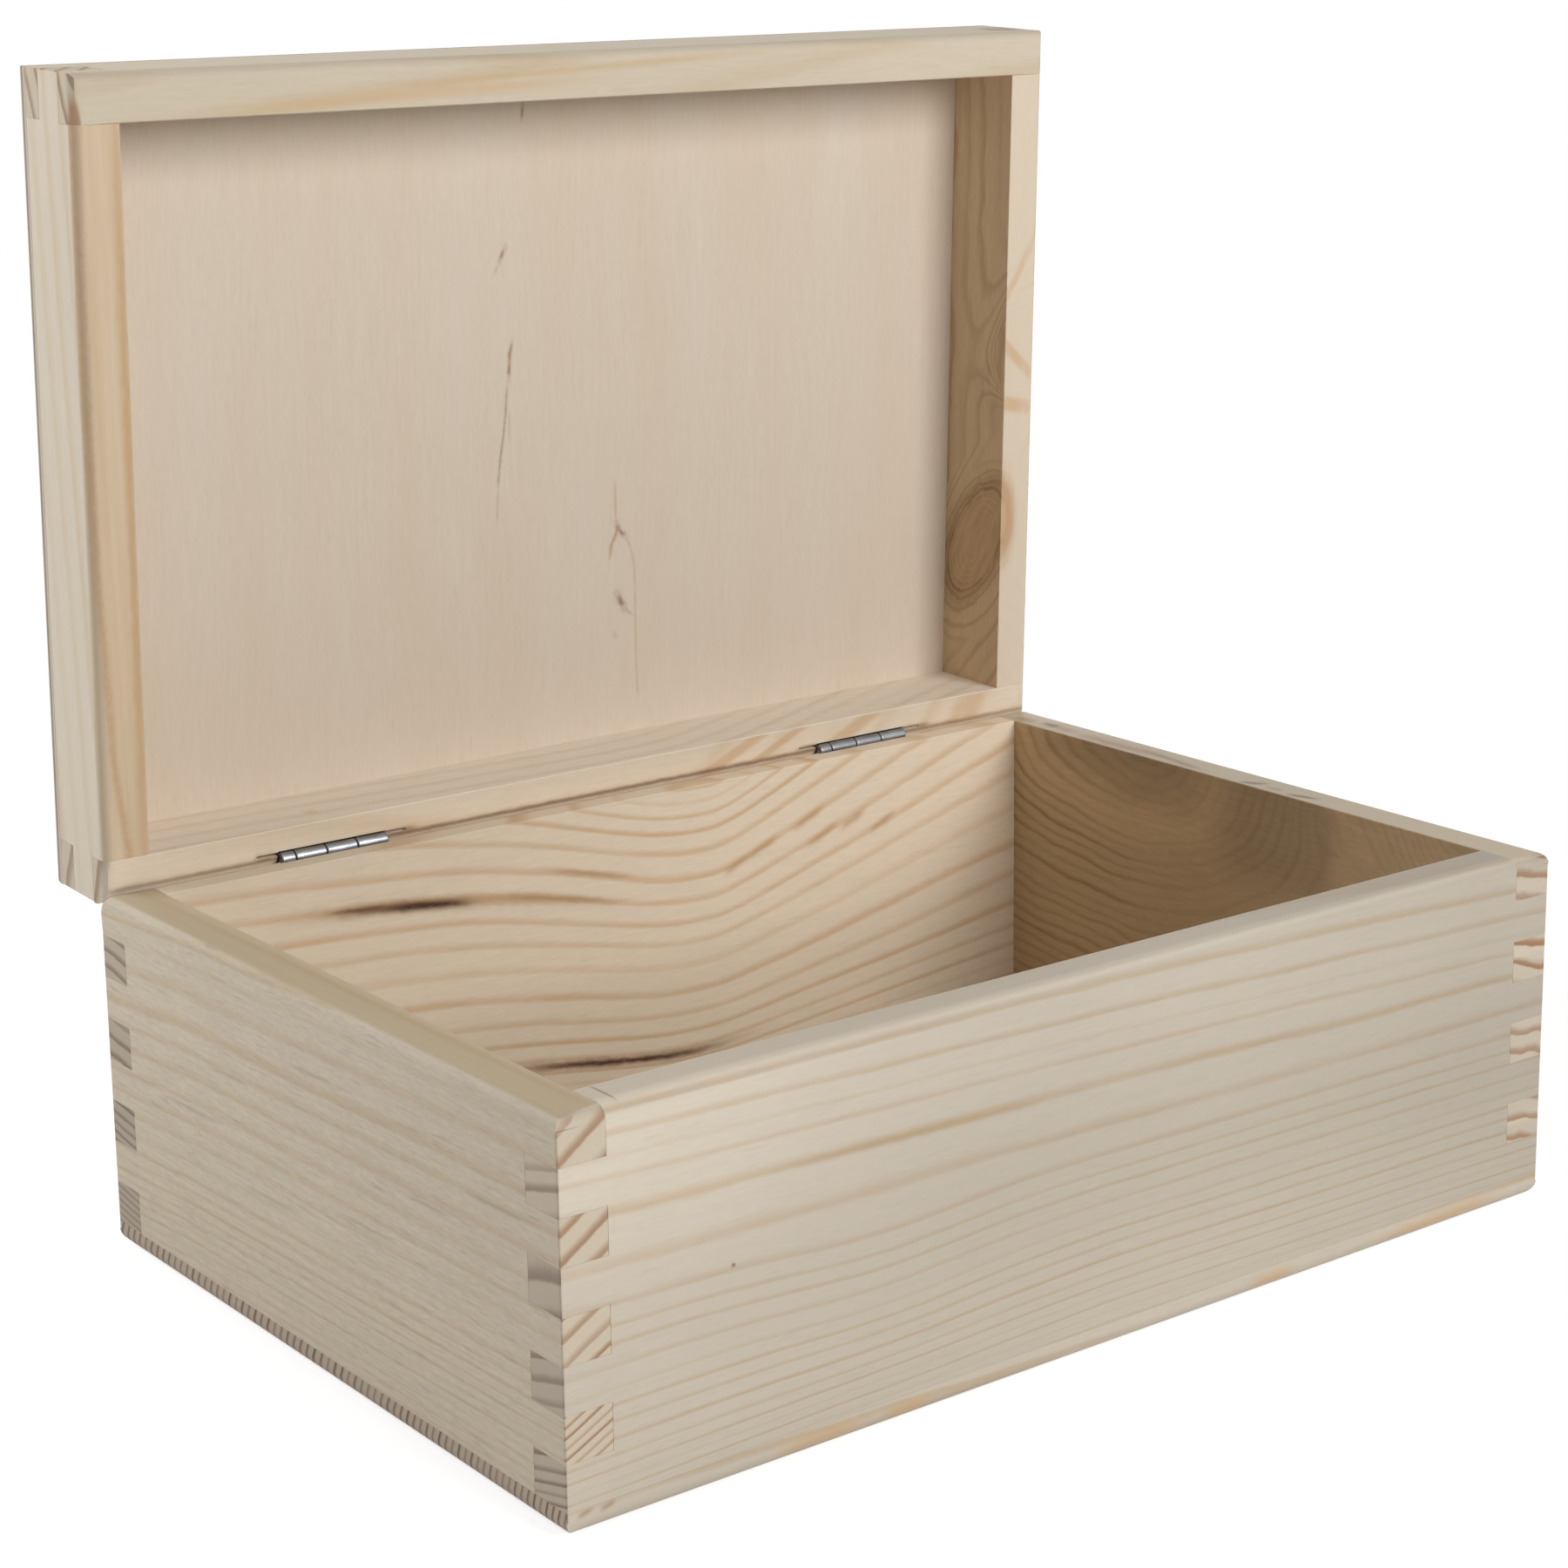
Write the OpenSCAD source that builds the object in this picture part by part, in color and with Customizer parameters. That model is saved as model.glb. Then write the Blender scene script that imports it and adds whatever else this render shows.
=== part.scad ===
// Hinged pine box with box-joint corners, its lid standing open.
// The origin is the middle of the underside; the front faces -Y and the hinges run along the back.

/* [Box body] */
// Outside width, left to right
box_w = 300; // [220:1:420]
// Outside depth, front to back
box_d = 203; // [140:1:320]
// Thickness of the four body boards
board_t = 12; // [9:0.5:16]
// Height of one box-joint finger
finger_h = 10.75; // [8:0.25:14]
// Number of fingers up each corner of the body
finger_count = 8; // [4:2:12]
// Thickness of the panel glued under the boards
bottom_t = 6; // [4:0.5:10]

/* [Lid] */
// Thickness of the four lid rails
rail_t = 12; // [9:0.5:16]
// Height of the front and back rails' finger at the rim
rim_finger_h = 7; // [5:0.25:12]
// Height of the front and back rails' finger under the panel
top_finger_h = 7; // [5:0.25:12]
// Thickness of the plywood panel glued on the rails
lid_panel_t = 3; // [2:0.5:6]
// Angle between the shut lid and the lid standing open
open_angle = 88; // [75:1:100]
// Gap between rim and body when the lid is shut
shut_gap = 0.4; // [0.2:0.1:1]
// Room between the two rounded back edges when the lid stands open
stop_gap = 0.3; // [0.2:0.1:0.6]

/* [Rounded edges] */
// Radius around the front and the sides of the opening, on body and lid
rim_round = 3; // [1:0.5:5]
// Radius of the two back edges that turn towards each other
heel_round = 6.5; // [5:0.5:8]
// Radius around the underside
bottom_round = 4; // [1:0.5:4]
// Radius around the front and the sides of the lid's top
lid_top_round = 1; // [0.5:0.5:2]
// Radius along the back of the lid's top
lid_back_round = 2.5; // [1:0.5:3]

/* [Hinges] */
// Length of one hinge
hinge_len = 31; // [24:1:38]
// Distance from the middle of the box to the middle of each hinge
hinge_x = 86.5; // [50:0.5:90]
// Length of the short knuckle at the left end, where the hinge strip was cut
short_knuckle = 4; // [2:0.5:7]
// Thickness of the hinge's sheet metal
leaf_t = 0.8; // [0.6:0.1:1]
// Diameter of the hinge pin
pin_d = 2; // [1.6:0.1:2.4]
// Depth of a leaf in the wood
leaf_depth = 7; // [5:0.5:9]
// Radius of the saw blade that cut the slots for the leaves
blade_r = 26; // [24:1:32]
// Gap around the pin in the turning knuckles
pin_clear = 0.05; // [0.03:0.01:0.1]
// Gap around the pin in the knuckles that hold it
pin_fit = 0.02; // [0.01:0.01:0.03]
// Gap between neighbouring knuckles
knuckle_gap = 0.2; // [0.1:0.05:0.4]
// Gap between a leaf and its saw slot, on each face
slot_clear = 0.1; // [0.05:0.05:0.2]
// Gap between the barrel and its groove
groove_clear = 0.3; // [0.2:0.1:0.6]

/* [Hidden] */
$fn = 64;
// Overrun of a cut past the face it opens
overrun = 1;

// Heights
body_h = bottom_t + finger_count * finger_h;
rim_z = body_h + shut_gap;
lid_frame_h = rim_finger_h + finger_h + top_finger_h;
lid_h = lid_frame_h + lid_panel_t;

// Finger rows as [low, high], the body's from the bottom up and the lid's from the rim up
body_rows = [for (i = [0 : finger_count - 1]) [bottom_t + i * finger_h, bottom_t + (i + 1) * finger_h]];
lid_rows = [
    [rim_z, rim_z + rim_finger_h],
    [rim_z + rim_finger_h, rim_z + rim_finger_h + finger_h],
    [rim_z + rim_finger_h + finger_h, rim_z + lid_frame_h],
];

// The pin lies in the middle of the shut gap, at the inset where the rounded back edges,
// one turned by open_angle, end up stop_gap apart
half_open = open_angle / 2;
heel_reach = (heel_round + shut_gap / 2) * cos(half_open) - heel_round - stop_gap / 2;
pin_inset = heel_round + heel_reach / sin(half_open);
pin_y = box_d / 2 - pin_inset;
pin_z = body_h + shut_gap / 2;

// Hinge
pin_r = pin_d / 2;
barrel_r = pin_r + pin_clear + leaf_t;
groove_r = barrel_r + groove_clear;
leaf_reach = leaf_depth + shut_gap / 2;
long_knuckle = (hinge_len - short_knuckle) / 3;
knuckle_starts = [for (i = [0 : 3]) i == 0 ? 0 : short_knuckle + (i - 1) * long_knuckle];
knuckle_ends = [for (i = [0 : 3]) short_knuckle + i * long_knuckle];
// Height of the blade's axle over the wood: at the leaf's lower edge the slot is just as long as the leaf
slot_half = hinge_len / 2 + slot_clear;
blade_rise = sqrt(pow(blade_r, 2) - pow(slot_half, 2)) - leaf_depth - slot_clear;

pine = [0.86, 0.79, 0.68];
pine_end = [0.80, 0.72, 0.60];
plywood = [0.84, 0.75, 0.65];
plated_steel = [0.78, 0.78, 0.76];

// Extrudes an outline drawn in y and z, centred along x
module along_x(length) {
    rotate([90, 0, 90])
        linear_extrude(length, center = true)
            children();
}

// Extrudes an outline drawn in x and z, centred along y
module along_y(length) {
    rotate([90, 0, 0])
        linear_extrude(length, center = true)
            children();
}

// What a quarter-round cutter takes off the corner at the origin of a shape in the first quadrant
module corner_waste(r) {
    difference() {
        translate([-overrun, -overrun])
            square(r + overrun);
        translate([r, r])
            circle(r);
    }
}

// Upright rectangle with its own radius at each corner: low and high, as [first side, second side]
module rounded_outline(width, z0, z1, low, high) {
    difference() {
        translate([-width / 2, z0])
            square([width, z1 - z0]);
        for (side = [0, 1]) {
            mirror([side, 0])
                translate([-width / 2, z0])
                    corner_waste(low[side]);
            mirror([side, 0])
                translate([-width / 2, z1])
                    mirror([0, 1])
                        corner_waste(high[side]);
        }
    }
}

// Outside of the whole body: rounded at the opening and around the underside
module body_form() {
    low = min(bottom_round, bottom_t);
    intersection() {
        along_x(box_w)
            rounded_outline(box_d, 0, body_h, [low, low], [rim_round, heel_round]);
        along_y(box_d)
            rounded_outline(box_w, 0, body_h, [low, low], [rim_round, rim_round]);
    }
}

// Outside of the whole shut lid
module lid_form() {
    top = min(lid_top_round, lid_panel_t);
    back = min(lid_back_round, lid_panel_t);
    intersection() {
        along_x(box_w)
            rounded_outline(box_d, rim_z, rim_z + lid_h, [rim_round, heel_round], [top, back]);
        along_y(box_d)
            rounded_outline(box_w, rim_z, rim_z + lid_h, [rim_round, rim_round], [top, top]);
    }
}

// Board outline: the rows with the given parity reach the full length as fingers,
// and the rows between stop at the neighbouring board
module jointed_outline(length, shoulder, rows, parity) {
    for (i = [0 : len(rows) - 1]) {
        reach = i % 2 == parity ? length / 2 : length / 2 - shoulder;
        translate([-reach, rows[i][0]])
            square([2 * reach, rows[i][1] - rows[i][0]]);
    }
}

// Front (side -1) or back (side 1) board of the body
module long_board(side) {
    intersection() {
        body_form();
        translate([0, side * (box_d - board_t) / 2, 0])
            along_y(board_t)
                jointed_outline(box_w, board_t, body_rows, 0);
    }
}

// Left (side -1) or right (side 1) board of the body
module side_board(side) {
    intersection() {
        body_form();
        translate([side * (box_w - board_t) / 2, 0, 0])
            along_x(board_t)
                jointed_outline(box_d, board_t, body_rows, 1);
    }
}

// Front or back rail of the shut lid
module long_rail(side) {
    intersection() {
        lid_form();
        translate([0, side * (box_d - rail_t) / 2, 0])
            along_y(rail_t)
                jointed_outline(box_w, rail_t, lid_rows, 0);
    }
}

// Left or right rail of the shut lid
module side_rail(side) {
    intersection() {
        lid_form();
        translate([side * (box_w - rail_t) / 2, 0, 0])
            along_x(rail_t)
                jointed_outline(box_d, rail_t, lid_rows, 1);
    }
}

// Saw slot for a leaf and groove for the barrel, for the wood below the pin of one hinge
module hinge_cut() {
    translate([0, leaf_t / 2 - barrel_r, blade_rise - shut_gap / 2])
        rotate([90, 0, 0])
            cylinder(r = blade_r, h = leaf_t + 2 * slot_clear, center = true);
    rotate([0, 90, 0])
        cylinder(r = groove_r, h = hinge_len + 2 * groove_clear, center = true);
}

// Puts a piece at the left (side -1) or right (side 1) hinge, with the pin along its x axis
module at_hinge(side) {
    translate([side * hinge_x, pin_y, pin_z])
        children();
}

// One leaf with its plate hanging down from the pin; it owns every second knuckle from the first one given
module hinge_leaf(first, bore_r) {
    plate_top = barrel_r + knuckle_gap;
    translate([-hinge_len / 2, -barrel_r, -leaf_reach])
        cube([hinge_len, leaf_t, leaf_reach - plate_top]);
    for (i = [first : 2 : 3]) {
        start = knuckle_starts[i] + (i > 0 ? knuckle_gap / 2 : 0);
        end = knuckle_ends[i] - (i < 3 ? knuckle_gap / 2 : 0);
        translate([(start + end - hinge_len) / 2, 0, 0])
            along_x(end - start)
                difference() {
                    union() {
                        circle(barrel_r);
                        translate([-barrel_r, -plate_top])
                            square([leaf_t, plate_top]);
                    }
                    circle(bore_r);
                }
    }
}

module body_leaf(side) {
    color(plated_steel)
        at_hinge(side)
            hinge_leaf(0, pin_r + pin_fit);
}

module lid_leaf(side) {
    color(plated_steel)
        swung_open()
            at_hinge(side)
                mirror([0, 0, 1])
                    hinge_leaf(1, pin_r + pin_clear);
}

module hinge_pin(side) {
    color(plated_steel)
        at_hinge(side)
            rotate([0, 90, 0])
                cylinder(r = pin_r, h = hinge_len, center = true);
}

// Swings a piece of the shut lid up to where it stands open
module swung_open() {
    translate([0, pin_y, pin_z])
        rotate([-open_angle, 0, 0])
            translate([0, -pin_y, -pin_z])
                children();
}

module front_board() {
    color(pine)
        long_board(-1);
}

module back_board() {
    color(pine)
        difference() {
            long_board(1);
            for (side = [-1, 1]) {
                at_hinge(side)
                    hinge_cut();
            }
        }
}

module left_board() {
    color(pine_end)
        side_board(-1);
}

module right_board() {
    color(pine_end)
        side_board(1);
}

module bottom_panel() {
    color(pine)
        intersection() {
            body_form();
            translate([-box_w / 2, -box_d / 2, 0])
                cube([box_w, box_d, bottom_t]);
        }
}

module lid_front_rail() {
    color(pine)
        swung_open()
            long_rail(-1);
}

module lid_back_rail() {
    color(pine)
        swung_open()
            difference() {
                long_rail(1);
                for (side = [-1, 1]) {
                    at_hinge(side)
                        mirror([0, 0, 1])
                            hinge_cut();
                }
            }
}

module lid_left_rail() {
    color(pine_end)
        swung_open()
            side_rail(-1);
}

module lid_right_rail() {
    color(pine_end)
        swung_open()
            side_rail(1);
}

module lid_panel() {
    color(plywood)
        swung_open()
            intersection() {
                lid_form();
                translate([-box_w / 2, -box_d / 2, rim_z + lid_frame_h])
                    cube([box_w, box_d, lid_panel_t]);
            }
}

front_board();
back_board();
left_board();
right_board();
bottom_panel();
lid_front_rail();
lid_back_rail();
lid_left_rail();
lid_right_rail();
lid_panel();
body_leaf(-1);  // left_hinge_body_leaf
lid_leaf(-1);  // left_hinge_lid_leaf
hinge_pin(-1);  // left_hinge_pin
body_leaf(1);  // right_hinge_body_leaf
lid_leaf(1);  // right_hinge_lid_leaf
hinge_pin(1);  // right_hinge_pin
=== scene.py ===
import math

import bmesh
import bpy
from mathutils import Matrix, Vector


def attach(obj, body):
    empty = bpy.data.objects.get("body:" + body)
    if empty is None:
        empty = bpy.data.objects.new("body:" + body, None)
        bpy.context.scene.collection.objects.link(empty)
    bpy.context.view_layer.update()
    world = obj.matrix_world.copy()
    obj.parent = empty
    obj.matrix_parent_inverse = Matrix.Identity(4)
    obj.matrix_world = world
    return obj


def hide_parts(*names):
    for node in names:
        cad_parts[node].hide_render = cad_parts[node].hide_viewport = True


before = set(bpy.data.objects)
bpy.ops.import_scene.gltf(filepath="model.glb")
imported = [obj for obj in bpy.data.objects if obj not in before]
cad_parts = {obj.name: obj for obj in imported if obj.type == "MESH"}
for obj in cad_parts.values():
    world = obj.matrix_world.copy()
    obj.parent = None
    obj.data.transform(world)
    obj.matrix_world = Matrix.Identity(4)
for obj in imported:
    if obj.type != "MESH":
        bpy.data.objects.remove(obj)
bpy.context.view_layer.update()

# Sizes shared with the solids, in millimetres; the lid's are those of the shut lid
HALF_W, HALF_D, BODY_H = 150.0, 101.5, 92.0
BOARD = 12.0
IN_X, IN_Y = HALF_W - BOARD, HALF_D - BOARD
RIM_Z = 92.4
PANEL_Z = RIM_Z + 24.75
PIN_Y, PIN_Z = 97.635, 92.2
KNUCKLE_R = 1.85
OPEN = math.radians(88.0)
MM_PER_M = 1000.0


def srgb(r, g, b):
    """Linear colour of an 8-bit screen colour."""
    def lin(c):
        c /= 255.0
        return c / 12.92 if c <= 0.04045 else ((c + 0.055) / 1.055) ** 2.4
    return (lin(r), lin(g), lin(b), 1.0)


class Val:
    """A shader value that can be used in arithmetic; each operation adds a Math node."""

    def __init__(self, tree, socket):
        self.tree, self.socket = tree, socket

    def _op(self, op, a, b=None):
        n = self.tree.nodes.new("ShaderNodeMath")
        n.operation = op
        for i, v in enumerate((a, b)):
            if isinstance(v, Val):
                self.tree.links.new(v.socket, n.inputs[i])
            elif v is not None:
                n.inputs[i].default_value = v
        return Val(self.tree, n.outputs[0])

    def __add__(self, o): return self._op("ADD", self, o)
    def __sub__(self, o): return self._op("SUBTRACT", self, o)
    def __rsub__(self, o): return self._op("SUBTRACT", o, self)
    def __mul__(self, o): return self._op("MULTIPLY", self, o)
    def __truediv__(self, o): return self._op("DIVIDE", self, o)
    def abs(self): return self._op("ABSOLUTE", self)
    def floor(self): return self._op("FLOOR", self)
    def fract(self): return self._op("FRACT", self)
    def sqrt(self): return self._op("SQRT", self)
    def exp(self): return self._op("EXPONENT", self)
    def min(self, o): return self._op("MINIMUM", self, o)
    def max(self, o): return self._op("MAXIMUM", self, o)

    def step(self, lo, hi, a=0.0, b=1.0):
        """Smooth step of this value from a at lo to b at hi."""
        n = self.tree.nodes.new("ShaderNodeMapRange")
        n.interpolation_type = "SMOOTHSTEP"
        if lo > hi:
            lo, hi, a, b = hi, lo, b, a
        self.tree.links.new(self.socket, n.inputs[0])
        for i, v in zip((1, 2, 3, 4), (lo, hi, a, b)):
            n.inputs[i].default_value = v
        return Val(self.tree, n.outputs[0])

    def bell(self, centre, width):
        """Bell curve of this value about a centre."""
        t = (self - centre) * (1.0 / width)
        return (t * t * -1.0).exp()

    def rings(self, heights):
        """Ring count along this value: whole at each height, rising as the heights fall."""
        pairs = sorted((h, i) for i, h in enumerate(heights))
        lo, hi, top = pairs[0][0], pairs[-1][0], len(heights) - 1
        n = self.tree.nodes.new("ShaderNodeFloatCurve")
        n.mapping.use_clip = False
        points = n.mapping.curves[0].points
        while len(points) < len(pairs):
            points.new(0.5, 0.5)
        for p, (h, i) in zip(points, pairs):
            p.location = ((h - lo) / (hi - lo), i / top)
        n.mapping.update()
        t = (self - lo) * (1.0 / (hi - lo))
        self.tree.links.new(t.socket, n.inputs["Value"])
        return Val(self.tree, n.outputs[0]) * top


class Shade:
    """A material being built: coordinates in millimetres in the part's frame with the lid shut."""

    def __init__(self, name, lid=False):
        self.mat = bpy.data.materials.new(name)
        self.mat.use_nodes = True
        self.tree = self.mat.node_tree
        self.tree.nodes.clear()
        self.out = self.new("ShaderNodeOutputMaterial")
        self.bsdf = self.new("ShaderNodeBsdfPrincipled")
        self.tree.links.new(self.bsdf.outputs[0], self.out.inputs[0])
        tc = self.new("ShaderNodeTexCoord")
        pos, nor = tc.outputs["Object"], tc.outputs["Normal"]
        if lid:
            pos = self.turn(pos, (0, PIN_Y / MM_PER_M, PIN_Z / MM_PER_M))
            nor = self.turn(nor, (0, 0, 0))
        mm = self.new("ShaderNodeVectorMath")
        mm.operation = "SCALE"
        mm.inputs["Scale"].default_value = MM_PER_M
        self.link(pos, mm.inputs[0])
        self.x, self.y, self.z = self.split(mm.outputs[0])
        self.nx, self.ny, self.nz = self.split(nor)

    def new(self, kind):
        return self.tree.nodes.new(kind)

    def link(self, a, b):
        self.tree.links.new(a.socket if isinstance(a, Val) else a, b)

    def turn(self, vec, centre):
        """Swings a vector of the open lid to where it is with the lid shut."""
        n = self.new("ShaderNodeVectorRotate")
        n.rotation_type = "X_AXIS"
        n.inputs["Center"].default_value = centre
        n.inputs["Angle"].default_value = OPEN
        self.link(vec, n.inputs["Vector"])
        return n.outputs[0]

    def split(self, vec):
        n = self.new("ShaderNodeSeparateXYZ")
        self.link(vec, n.inputs[0])
        return [Val(self.tree, o) for o in n.outputs]

    def noise(self, x, y, z, detail=2.0, rough=0.5):
        """Noise at a point, about -1 to 1."""
        n = self.new("ShaderNodeTexNoise")
        n.inputs["Scale"].default_value = 1.0
        n.inputs["Detail"].default_value = detail
        n.inputs["Roughness"].default_value = rough
        c = self.new("ShaderNodeCombineXYZ")
        for i, v in enumerate((x, y, z)):
            if isinstance(v, Val):
                self.link(v, c.inputs[i])
            else:
                c.inputs[i].default_value = v
        self.link(c.outputs[0], n.inputs["Vector"])
        return (Val(self.tree, n.outputs[0]) - 0.5) * 2.6

    def random(self, v, seed):
        """Random number for each whole value of v."""
        n = self.new("ShaderNodeTexWhiteNoise")
        n.noise_dimensions = "1D"
        self.link(v + seed, n.inputs["W"])
        return Val(self.tree, n.outputs[0])

    def mix(self, fac, a, b):
        """Colour a where the factor is 0 and b where it is 1."""
        n = self.new("ShaderNodeMix")
        n.data_type = "RGBA"
        n.clamp_factor = True
        for sock, v in ((n.inputs[0], fac), (n.inputs[6], a), (n.inputs[7], b)):
            if isinstance(v, (Val, bpy.types.NodeSocket)):
                self.link(v, sock)
            else:
                sock.default_value = v
        return n.outputs[2]

    def scaled(self, col, k):
        """Colour times a value."""
        n = self.new("ShaderNodeVectorMath")
        n.operation = "SCALE"
        self.link(col, n.inputs[0])
        self.link(k, n.inputs["Scale"])
        return n.outputs[0]

    def streak(self, col, u, v, at, size, slope, colour, amount, only=None, seed=0.0):
        """Paints a long ragged mark on a colour: its middle, its half length and half width."""
        du = u - at[0]
        dv = v - du * slope - at[1]
        dv = dv + self.noise(u * 0.22, v * 0.5, seed + at[0], 3.0) * (0.45 * size[1])
        a = (dv * (1.0 / size[1])).bell(0.0, 1.0)
        b = du * (1.0 / size[0])
        b = b * b
        b = (b * b * -1.0).exp()
        mask = a * b * amount
        if only:
            mask = mask * only
        return self.mix(mask, col, srgb(*colour))

    def scratch(self, col, u, v, points, width, colour, amount, only=None):
        """Paints a thin mark on a colour along a bent line through the points; its ends fade."""
        near, tip = None, None
        for u0, v0 in (points[0], points[-1]):
            a, b = u - u0, v - v0
            d = (a * a + b * b).sqrt()
            tip = d if tip is None else tip.min(d)
        for (u0, v0), (u1, v1) in zip(points, points[1:]):
            du, dv = u1 - u0, v1 - v0
            a, b = u - u0, v - v0
            t = ((a * du + b * dv) * (1.0 / (du * du + dv * dv))).max(0.0).min(1.0)
            a, b = a - t * du, b - t * dv
            d = a * a + b * b
            near = d if near is None else near.min(d)
        near = near.sqrt() + self.noise(u * 0.7, v * 0.7, points[0][0], 3.0) * (0.55 * width)
        broken = self.noise(u * 0.4, v * 0.9, points[0][0] + 5.0, 3.0).step(-0.9, 0.3, 0.45, 1.0)
        mask = near.max(0.0).bell(0.0, width * 1.2) * broken
        mask = mask * tip.step(0.0, 2.2, 0.25, 1.0) * amount
        if only:
            mask = mask * only
        return self.mix(mask, col, srgb(*colour))

    def finish(self, col, rough, height, bump=0.25, distance=0.0001):
        """The material with this colour, roughness and bump height."""
        self.link(col, self.bsdf.inputs["Base Color"])
        self.link(rough, self.bsdf.inputs["Roughness"])
        self.bsdf.inputs["Specular IOR Level"].default_value = 0.3
        b = self.new("ShaderNodeBump")
        b.inputs["Strength"].default_value = bump
        b.inputs["Distance"].default_value = distance
        self.link(height, b.inputs["Height"])
        self.link(b.outputs[0], self.bsdf.inputs["Normal"])
        return self.mat


def pine(name, field, rings, along, early, late, end, seed, lid=False, strength=1.0,
         width=0.3, fibres=1.0, ticks=0.05, bands=1.0, faint=None, marks=None):
    """Bare pine. field gives a length across the growth rings; rings lists where its dark lines
    lie or is their number per millimetre; along is the grain's axis; early and late are the
    colours of the two kinds of wood in a ring, end the two of end grain, which shows bands times
    as many rings; faint fades the lines from place to place; marks adds what only this board
    shows."""
    s = Shade(name, lid)
    u, v, w = {"x": (s.x, s.y, s.z), "y": (s.y, s.z, s.x)}[along]
    cross = {"x": s.nx, "y": s.ny}[along].abs().step(0.3, 0.65)
    depth = field(s)
    phase = depth.rings(rings) if isinstance(rings, tuple) else depth * rings
    phase = phase + s.noise(u * 0.014, v * 0.06, w * 0.06 + seed) * 0.12
    phase = phase + s.noise(u * 0.09, v * 0.3, w * 0.3 + seed) * 0.03
    part = (phase + 0.5).fract()
    own = s.random((phase + 0.5).floor(), seed)
    line = part.step(0.5 - width, 0.5) * part.step(0.5 + 0.5 * width, 0.5)
    fade = s.noise(u * 0.025, v * 0.10, w * 0.10 + seed + 7.0) * 0.3 + 0.8
    dark = line * (own * 0.65 + 0.35) * fade * strength
    if faint:
        dark = dark * faint(s)
    fibre = s.noise(u * 0.06, v * 0.9 + seed, w * 0.9, 3.0, 0.65)
    speck = s.noise(u * 0.3, v * 1.4, w * 1.4 + seed, 2.0, 0.6)
    cloud = s.noise(u * 0.010, v * 0.035 + seed, w * 0.035)
    tick = s.noise(u * 0.08, v * 0.9, w * 0.9 + seed + 3.0, 2.0, 0.6).step(0.15, 0.75)
    face = s.mix(dark, srgb(*early), srgb(*late))
    fine = (fibre * 0.035 + speck * 0.035) * fibres
    face = s.scaled(face, fine + cloud * 0.03 - tick * ticks + 1.0)
    pore = s.noise(s.x * 2.2, s.y * 2.2, s.z * 2.2 + seed, 3.0, 0.7)
    ring = (phase * bands + 0.5).fract()
    band = ring.step(0.12, 0.52) * ring.step(0.68, 0.56) * (own * 0.5 + 0.5)
    grain = s.mix(band, srgb(*end[0]), srgb(*end[1]))
    grain = s.scaled(grain, pore * 0.06 + 1.0)
    col = s.mix(cross, face, grain)
    if marks:
        col = marks(s, col, depth)
    rough = fibre * 0.05 - dark * 0.05 + cross * 0.1 + 0.64
    height = fibre * 0.6 + speck * 0.5 - dark * 0.2 - tick * 0.5 + pore * cross
    return s.finish(col, rough, height)


# Length across the growth rings of each board, after the lines that its faces show
def front_field(s):
    z = s.z + (s.y + HALF_D) * 0.25
    low = z.step(58.0, 46.0) * z.step(4.0, 40.0)
    left = s.x.min(0.0) * (-1.0 / 137.0) * z.step(86.0, 91.0, 1.0, 0.35)
    right = s.x.max(0.0) * (1.0 / 122.0)
    rise = left * z.step(10.0, 75.0, -3.5, 3.6) - right * z.step(48.0, 70.0, 2.0, 4.6)
    return z - rise + s.x.bell(-66.0, 30.0) * low * 2.5


def left_field(s):
    lean = s.z * 0.0035 + 0.42
    return s.z + (s.y - 18.0) * 0.028 + s.y.step(55.0, 95.0) * 1.2 - (s.x + HALF_W) * lean


def back_field(s):
    d = (24.0 - s.x).max(0.0) * (1.0 / 63.0)
    d = d * d
    a = d / (d + 1.0) * 22.5
    e = (s.x - 26.0).max(0.0)
    b = ((e * e + 100.0).sqrt() - 10.0) * 0.34
    z = s.z - (s.y - IN_Y) * 0.14
    return (z - a * 0.55 - b * 0.056) / (a * 0.0085 + b * 0.016 + 1.0)


def right_field(s):
    dy = (s.y - 32.5).max(0.0) * 0.45 + (32.5 - s.y).max(0.0) * 0.75
    dx, dz = s.x - IN_X, s.z - 96.0
    wave = s.noise(s.y * 0.03, s.z * 0.06, s.x * 0.06 + 11.0, 3.0) * 2.5
    eye = (dy * dy + dz * dz + dx * dx * 0.3).sqrt() + wave
    flat = 106.0 - s.z - dx * 0.22 + wave
    far = s.y.step(-30.0, -85.0)
    fold = s.y.bell(-34.0, 9.0) * s.z.bell(90.0, 12.0) * 6.0
    return eye * (1.0 - far) + flat * far + fold


def right_faint(s):
    return (s.y + (88.0 - s.z) * 0.55).step(38.0, 78.0, 0.3, 1.0)


def bottom_field(s):
    near = (s.y * -1.0).max(0.0)
    return s.y - near * near * 0.0018 + s.z * 0.45 + s.x * 0.012


def lid_front_field(s):
    return s.z - RIM_Z + (s.y + HALF_D) * 0.4 + s.x * 0.05


def lid_back_field(s):
    e = s.x - 24.0
    rise = ((e * e + 300.0).sqrt() + e) * 0.24 - e * 0.06
    return s.z - RIM_Z - (s.y - IN_Y) * 0.3 - rise


def lid_left_field(s):
    return s.z - RIM_Z + (s.y + HALF_D) * 0.085 - (s.x + HALF_W) * 1.3


# Tilt of the knot in the lid's right rail
KNOT_COS, KNOT_SIN = 0.857, 0.515


def lid_knot(s):
    """Distance from the knot in the lid's right rail, 1 at its rim."""
    du, dv, dx = s.y - 46.5, s.z - RIM_Z - 11.0, (s.x - IN_X) * 0.17
    a = (du * KNOT_COS + dv * KNOT_SIN) * (1.0 / 21.0)
    b = (du * KNOT_SIN - dv * KNOT_COS) * (1.0 / 10.5)
    return (a * a + b * b + dx * dx).sqrt()


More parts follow.
